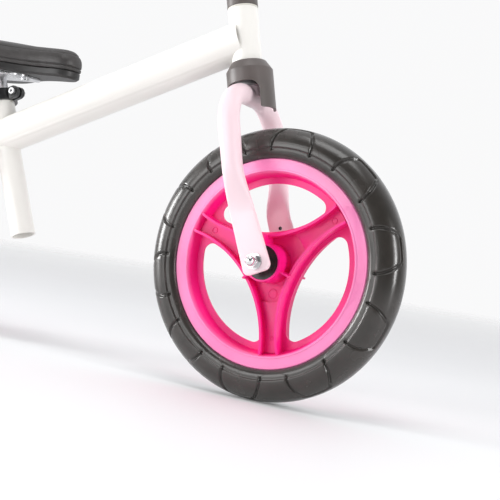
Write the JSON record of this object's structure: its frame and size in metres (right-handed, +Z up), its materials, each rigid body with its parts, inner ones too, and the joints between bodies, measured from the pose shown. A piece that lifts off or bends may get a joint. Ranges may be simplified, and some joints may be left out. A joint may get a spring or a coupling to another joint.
{
  "type": "balance bike",
  "caption": "Child's balance bike with foam tyres, moulded spoked wheels, tubular steel frame, steering stop sleeve, and adjustable saddle and handlebar.",
  "frame": {"origin": "on the ground, midway between the axles, in the plane of symmetry", "axes": "+X forward, +Y to the rider's left, +Z up"},
  "size_m": [0.88, 0.4186, 0.5912],
  "materials": {
    "frame_enamel": "smooth warm white powder coat",
    "fork_enamel": "smooth pale pink powder coat",
    "rim_plastic": "moulded hot pink polypropylene, satin gloss",
    "tyre_foam": "dark grey foam tyre with a soft sheen",
    "bearing_plastic": "black nylon",
    "sleeve_plastic": "dark grey-brown moulded plastic",
    "bush_nylon": "natural nylon",
    "zinc_steel": "zinc plated",
    "chrome": "polished chrome",
    "collar_steel": "black coated steel",
    "grip_rubber": "soft dark rubber",
    "saddle_tray": "black moulded plastic",
    "saddle_cover": "dark soft grained vinyl over foam"
  },
  "bodies": {
    "frame": {"main_tube": "frame_enamel", "head_tube": "frame_enamel", "lower_seat_tube": "frame_enamel", "upper_seat_tube": "frame_enamel", "rear_fork": "frame_enamel", "lower_head_bush": "bush_nylon", "upper_head_bush": "bush_nylon", "steering_stop_sleeve": "sleeve_plastic", "seat_post_bush": "bush_nylon", "seat_clamp_collar": "collar_steel", "seat_clamp_bolt": "zinc_steel", "seat_clamp_nut": "zinc_steel", "rear_axle": "zinc_steel", "rear_axle_spacers": "zinc_steel", "rear_axle_washers": "zinc_steel", "rear_axle_nuts": "chrome"},
    "fork": {"fork_tube": "fork_enamel", "steerer_tube": "fork_enamel", "crown_race": "zinc_steel", "lock_ring": "sleeve_plastic", "handlebar_clamp_collar": "collar_steel", "handlebar_clamp_bolt": "zinc_steel", "handlebar_clamp_nut": "zinc_steel", "front_axle": "zinc_steel", "front_axle_spacers": "zinc_steel", "front_axle_washers": "zinc_steel", "front_axle_nuts": "chrome"},
    "front_wheel": {"front_tyre": "tyre_foam", "front_rim": "rim_plastic", "front_hub_bearings": "bearing_plastic", "front_hub_spacer": "zinc_steel"},
    "rear_wheel": {"rear_tyre": "tyre_foam", "rear_rim": "rim_plastic", "rear_hub_bearings": "bearing_plastic", "rear_hub_spacer": "zinc_steel"},
    "handlebar": {"handlebar": "fork_enamel", "handlebar_post": "fork_enamel", "left_grip": "grip_rubber", "right_grip": "grip_rubber"},
    "seat": {"seat_post": "chrome", "saddle_plate": "zinc_steel", "saddle_base": "saddle_tray", "saddle_pad": "saddle_cover", "saddle_screws": "zinc_steel"}
  },
  "joints": [
    {"name": "steering", "type": "hinge", "parent": "frame", "child": "fork", "pos_m": [0.27842, 0, 0.14685], "axis": [-0.2622, 0, 0.965], "range_deg": [-25, 25]},
    {"name": "front_wheel_spin", "type": "hinge", "parent": "fork", "child": "front_wheel", "pos_m": [0.29, 0, 0.15], "axis": [0, 1, 0], "continuous": true},
    {"name": "rear_wheel_spin", "type": "hinge", "parent": "frame", "child": "rear_wheel", "pos_m": [-0.29, 0, 0.15], "axis": [0, 1, 0], "continuous": true},
    {"name": "handlebar_height", "type": "slide", "parent": "fork", "child": "handlebar", "axis": [-0.2622, 0, 0.965], "range_m": [0, 0.055]},
    {"name": "seat_height", "type": "slide", "parent": "frame", "child": "seat", "axis": [-0.3971, 0, 0.9178], "range_m": [0, 0.075]}
  ]
}
